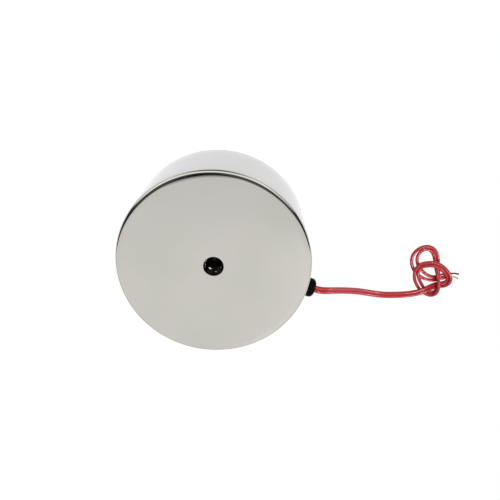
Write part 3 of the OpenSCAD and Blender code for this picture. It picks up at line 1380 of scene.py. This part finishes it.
@dataclass
class Grommet:
    """Rubber grommet that lines the lead hole and covers its edge.

    Attributes:
        head_r: Radius of the head.
        barrel_r: Radius of the barrel in the wall.
        end_r: Rounding of the head's outer end.
        inner_x: Distance of the inner end from the axis.
        outer_x: Distance of the outer end from the axis.
        wall_r: Outside radius of the pot, on which the head rests.
        height: Height of its axis.
        passage: Half width and half height of the oval passage.
        barrel_x: Distance from the axis to which the barrel is round.
        seat: Radii of the rows on which it rests against the wall.
        side: Distances from the axis of the rows on the head's side.
        lip: Depth and width of each row of the passage's soft edge.
        passage_x: Distance from the axis of a row inside the passage.
    """

    head_r: float = 4.1
    barrel_r: float = 2.95
    end_r: float = 1.8
    inner_x: float = 34.8
    outer_x: float = 44.75
    wall_r: float = 40.05
    height: float = 28.0
    passage: tuple[float, float] = (1.675, 0.85)
    barrel_x: float = 39.45
    seat: tuple[float, ...] = (2.95, 3.5, 3.95)
    side: tuple[float, ...] = (40.3, 41.2, 42.35)
    lip: Section = ((0.0, 0.25), (0.12, 0.0625), (0.5, 0.0))
    passage_x: float = 39.05

    def ring(self, x: float, radius: float, sides: int = 56, hug: bool = False) -> list[Vector]:
        """Gives a round row.

        Args:
            x: Distance from the axis in millimetres.
            radius: Radius in millimetres.
            sides: Number of points.
            hug: Whether the row follows the pot's wall.

        Returns:
            The points in metres.
        """
        row = []
        for k in range(sides):
            a = 2 * math.pi * k / sides
            y, z = radius * math.cos(a), radius * math.sin(a)
            reach = math.sqrt(self.wall_r**2 - y * y) if hug else x
            row.append(MM * Vector((reach, y, self.height + z)))
        return row

    def oval(self, x: float, grow: float = 0.0, sides: int = 56) -> list[Vector]:
        """Gives a row round the passage.

        Args:
            x: Distance from the axis in millimetres.
            grow: How far the row stands back from the passage.
            sides: Number of points.

        Returns:
            The points in metres.
        """
        half, radius = self.passage[0] - self.passage[1], self.passage[1] + grow
        widen = 2.5
        row = []
        for k in range(sides):
            a = 2 * math.pi * k / sides
            shift = half * max(-1.0, min(1.0, widen * math.cos(a)))
            y = radius * math.cos(a) + shift
            row.append(MM * Vector((x, y, self.height + radius * math.sin(a))))
        return row

    def build(self) -> bpy.types.Object:
        """Builds the grommet.

        Returns:
            The grommet.
        """
        rows = [self.oval(self.inner_x), self.ring(self.inner_x, self.barrel_r)]
        rows += [self.ring(self.barrel_x, self.barrel_r)]
        rows += [self.ring(0.0, r, hug=True) for r in self.seat]
        rows += [self.ring(x, self.head_r) for x in self.side]
        shoulder = self.outer_x - self.end_r
        for dx, dr in arc((0.0, 0.0), self.end_r, 90, 0, 9):
            rows.append(self.ring(shoulder + dx, self.head_r - self.end_r + dr))
        rows += [self.oval(self.outer_x - depth, width) for depth, width in self.lip]
        rows += [self.oval(self.passage_x)]
        piece = shown("grommet", Loft(rows, wrap=True).mesh("grommet"), BLACK_RUBBER)
        report(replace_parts(piece, "lead_grommet"))
        return piece


# Pot


class Skin(IntEnum):
    """Material numbers of the pot's surfaces."""

    PLATE = 0
    CUT = 1
    # Bore, drill point and chamfer, which take the near-black finish of painted shade.
    GROUND = 2


@dataclass
class Pot:
    """Plated steel pot with its centre pole and tapped hole.

    Attributes:
        outer_r: Outside radius.
        height: Height over all.
        groove: Inner and outer radius of the coil groove.
        groove_top: Height of the groove's bottom.
        corner_r: Rounding in the groove.
        pole_edge: Rounding of the holding face's edge.
        bore_r: Radius of the hole at the root of its thread.
        bore_depth: Depth of the full hole.
        drill_point: Depth of the drill's point.
        chamfer: Width of the hole's chamfer.
        lip: Points of the soft edge between chamfer and face, as distance
            out from the chamfer's end and height above the face.
        face_r: Radius of a row on the mounting face.
        wall_z: Heights of rows on the wall.
        groove_edge: Chamfer of the groove's edges.
        pole_r: Radius of a row on the pole's face.
        roll: Width over which the buffed face rolls off before its edge.
        roll_angle: Slope in degrees at the end of that.
        edge_r: Rounding of the mounting face's edge.
        lead_hole_r: Radius of the hole that the grommet fills.
        lead_z: Height of that hole.
        sharp: Angle in degrees past which an edge stays sharp.
    """

    outer_r: float = 40.0
    height: float = 38.0
    groove: tuple[float, float] = (18.0, 35.0)
    groove_top: float = 31.0
    corner_r: float = 0.8
    pole_edge: float = 0.4
    bore_r: float = 4.0
    bore_depth: float = 14.0
    drill_point: float = 2.4
    chamfer: float = 0.22
    lip: Section = ((-0.02, -0.02), (0.03, -0.002), (0.08, 0.0))
    face_r: float = 20.0
    wall_z: tuple[float, ...] = (30.0, 20.0, 10.0)
    groove_edge: float = 0.15
    pole_r: float = 9.0
    roll: float = 2.6
    roll_angle: float = 12.0
    edge_r: float = 1.35
    lead_hole_r: float = 3.0
    lead_z: float = 28.0
    sharp: float = 40.0

    def edge(self) -> list[tuple[float, float]]:
        """Draws the section of the buffed edge.

        Returns:
            Its points, from the face to the wall.
        """
        steps, slope = 10, math.radians(self.roll_angle)
        points, r, z = [], 0.0, 0.0
        for k in range(steps):
            tilt = slope * ((k + 0.5) / steps) ** 2
            points.append((r, z))
            r += self.roll / steps * math.cos(tilt)
            z -= self.roll / steps * math.sin(tilt)
        centre = (r - self.edge_r * math.sin(slope), z - self.edge_r * math.cos(slope))
        points += arc(centre, self.edge_r, 90.0 - self.roll_angle, 0.0, 16)
        shift = self.outer_r - points[-1][0]
        return [(pr + shift, pz + self.height) for pr, pz in points]

    def section(self) -> tuple[list[tuple[float, float]], list[int]]:
        """Draws the half section of the pot.

        Returns:
            Its points, and the material number after each.
        """
        top, deep = self.height, self.height - self.bore_depth
        inner, outer = self.groove
        mouth = self.bore_r + self.chamfer
        lip = [(mouth + out, top + up) for out, up in self.lip]
        bore = [
            (0.0, deep - self.drill_point),
            (self.bore_r, deep),
            (self.bore_r, top - self.chamfer),
            lip[0],
        ]
        face = [*lip[1:], (self.face_r, top)]
        wall = [(self.outer_r, z) for z in self.wall_z]
        rim = arc((self.outer_r - self.pole_edge, self.pole_edge), self.pole_edge, 0, -90, 6)
        round_r, high, edge = self.corner_r, self.groove_top, self.groove_edge
        ring = [(outer + edge, 0.0), (outer, edge)]
        groove = arc((outer - round_r, high - round_r), round_r, 0, 90, 5)
        groove += arc((inner + round_r, high - round_r), round_r, 90, 180, 5)
        pole = [(inner, edge), (inner - edge, 0.0), (self.pole_r, 0.0), (0.0, 0.0)]
        outside = face + self.edge() + wall + rim[:-1]
        section = bore + outside + rim[-1:] + ring + groove + pole
        bands = [Skin.CUT] * (len(bore) - 1) + [Skin.PLATE] * (len(outside) + 1)
        bands += [Skin.GROUND] * (2 + len(ring)) + [Skin.PLATE] * (len(groove) - 1)
        bands += [Skin.GROUND] * (1 + len(pole))
        return section, bands

    def lead_hole(self, pot: bpy.types.Object) -> None:
        """Cuts the lead hole through the wall.

        Args:
            pot: The pot, whose mesh is replaced by the cut one.
        """
        sides, start, end = 48, 34.3, 42.0
        r, z = self.lead_hole_r, self.lead_z
        turns = [2 * math.pi * (k + 0.5) / sides for k in range(sides)]
        rows = [
            [MM * Vector((x, r * math.cos(a), z + r * math.sin(a))) for a in turns]
            for x in (start, end)
        ]
        ends = [MM * Vector((x, 0.0, z)) for x in (start, end)]
        drill = bpy.data.objects.new("drill", Loft(rows, False, *ends).mesh("drill"))
        bpy.context.scene.collection.objects.link(drill)
        cut = pot.modifiers.new("lead_hole", "BOOLEAN")
        cut.object, cut.operation, cut.solver = drill, "DIFFERENCE", "EXACT"
        graph = bpy.context.evaluated_depsgraph_get()
        mesh = bpy.data.meshes.new_from_object(pot.evaluated_get(graph), depsgraph=graph)
        smooth(mesh, self.sharp)
        pot.modifiers.remove(cut)
        bpy.data.objects.remove(drill)
        pot.data = mesh

    def build(self) -> None:
        """Builds the pot."""
        mesh = turned(*self.section()).mesh("pot", self.sharp)
        pot = shown("pot", mesh, BRIGHT_PLATE, PAINTED_SHADE_BORE, GROUND_POLES)
        self.lead_hole(pot)
        report(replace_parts(pot, "pot_body"))


@dataclass
class MountThread:
    """Thread of the tapped hole, as one ridge on its wall.

    Attributes:
        root_r: Radius of the hole's wall.
        depth: Height of the ridge.
        pitch: Rise of one turn.
        turns: Number of turns.
        top: Height of the last turn's middle.
        foot: Width of the ridge at its root, as a share of the pitch.
        crest: Width of the ridge at its crest, as a share of the pitch.
        runout: Turns over which the ridge fades out at either end.
        least: Share of its size that is left at its ends.
        sunk: How far its root lies in the wall.
        steps: Points in one turn.
    """

    root_r: float = 4.0
    depth: float = 0.62
    pitch: float = 1.25
    turns: float = 10.0
    top: float = 37.35
    foot: float = 0.86
    crest: float = 0.2
    runout: float = 0.6
    least: float = 0.05
    sunk: float = 0.02
    steps: int = 64

    def build(self) -> None:
        """Builds the thread."""
        rule = GeometryRule("thread_ridge")
        pitch = rule.size("Pitch", self.pitch * MM)
        turns = rule.size("Turns", self.turns)
        root = rule.size("Root radius", (self.root_r + self.sunk) * MM)
        depth = rule.size("Depth", self.depth * MM)
        foot = rule.size("Foot", self.foot * self.pitch * MM)
        crest = rule.size("Crest", self.crest * self.pitch * MM)
        low = rule.size("Lowest", (self.top - self.turns * self.pitch) * MM)
        runout = rule.size("Run-out", self.runout / self.turns)
        helix = rule.node("GeometryNodeCurveSpiral")
        rule.feed(helix, Resolution=self.steps, Rotations=turns, Start_Radius=root, End_Radius=root)
        rule.feed(helix, Height=rule.maths("MULTIPLY", pitch, turns))
        level = rule.node("GeometryNodeSetCurveNormal", mode="Z_UP")
        rule.feed(level, Curve=helix.outputs[0])
        shape = rule.node("GeometryNodeCurvePrimitiveQuadrilateral", mode="TRAPEZOID")
        rule.feed(shape, Bottom_Width=foot, Top_Width=crest, Height=depth)
        shape.inputs["Offset"].default_value = 0.0
        inward = rule.feed(
            rule.node("ShaderNodeCombineXYZ"), X=rule.maths("DIVIDE", depth, 2.0)
        )
        stood = rule.feed(
            rule.node("GeometryNodeTransform"),
            Geometry=shape.outputs[0],
            Translation=inward.outputs[0],
            Rotation=(0.0, 0.0, math.radians(-90.0)),
        )
        along = rule.node("GeometryNodeSplineParameter").outputs["Factor"]
        to_end = rule.maths("MINIMUM", along, rule.maths("SUBTRACT", 1.0, along))
        taper = rule.maths("MINIMUM", rule.maths("DIVIDE", to_end, runout), 1.0)
        swept = rule.node("GeometryNodeCurveToMesh")
        rule.feed(swept, Curve=level.outputs[0], Profile_Curve=stood.outputs[0])
        rule.feed(swept, Scale=rule.maths("MAXIMUM", taper, self.least))
        swept.inputs["Fill Caps"].default_value = True
        lift = rule.feed(rule.node("ShaderNodeCombineXYZ"), Z=low)
        raised = rule.node("GeometryNodeTransform")
        rule.feed(raised, Geometry=swept.outputs[0], Translation=lift.outputs[0])
        # The thread's finish is painted shade with painted glints.
        rule.finish(raised.outputs[0], PAINTED_SHADE_AND_GLINT_THREAD)
        mesh = rule.mesh("mount_thread")
        smooth(mesh, sharp=30.0)
        report(shown("mount_thread", mesh, PAINTED_SHADE_AND_GLINT_THREAD))


# Coil


@dataclass
class PoleSeal:
    """Resin ring that closes the coil groove at the holding face.

    Attributes:
        inner_r: Inner radius.
        outer_r: Outer radius.
        recess: Depth of its edge below the holding face.
        sag: Further depth in the middle.
        top: Height of its upper side, on the bobbin.
    """

    inner_r: float = 18.05
    outer_r: float = 34.95
    recess: float = 0.1
    sag: float = 0.4
    top: float = 3.95

    def build(self) -> None:
        """Builds the ring."""
        steps, flatness = 24, 3
        middle, half = (self.inner_r + self.outer_r) / 2, (self.outer_r - self.inner_r) / 2
        section = [(self.inner_r, self.top), (self.outer_r, self.top)]
        for k in range(steps + 1):
            share = 1.0 - 2.0 * k / steps
            creep = self.sag * (1.0 - abs(share) ** flatness)
            section.append((middle + half * share, self.recess + creep))
        mesh = turned(section, sides=160).mesh("pole_seal_ring", sharp=50.0)
        report(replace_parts(shown("pole_seal_ring", mesh, CAST_RESIN), "pole_seal"))


@dataclass
class CoilInside:
    """Pieces of the coil inside the pot, which keep their solids.

    Attributes:
        finishes: Finish of each piece.
    """

    finishes: Sequence[tuple[str, Finish]] = (
        ("coil_bobbin", MOULDED_NYLON),
        ("coil_winding", ENAMELLED_COPPER),
        ("coil_tape", YELLOW_TAPE),
        ("splice_sleeve_1", SHRINK_SLEEVE),
        ("splice_sleeve_2", SHRINK_SLEEVE),
        ("coil_tail_start", ENAMELLED_COPPER),
        ("coil_tail_finish", ENAMELLED_COPPER),
    )

    def build(self) -> None:
        """Dresses the pieces."""
        for name, finish in self.finishes:
            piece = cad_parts[name]
            piece.data.materials.clear()
            piece.data.materials.append(finish.material())
            report(piece)


def main() -> None:
    """Builds the magnet in order and reports each piece."""
    logging.basicConfig(level=logging.INFO, format="%(name)s %(message)s")
    studio = Studio()
    studio.build()
    grommet = Grommet().build()
    leads = LeadPair().build(grommet)
    studio.shine_on([grommet, *leads])
    Pot().build()
    MountThread().build()
    PoleSeal().build()
    CoilInside().build()


if __name__ == "__main__":
    main()
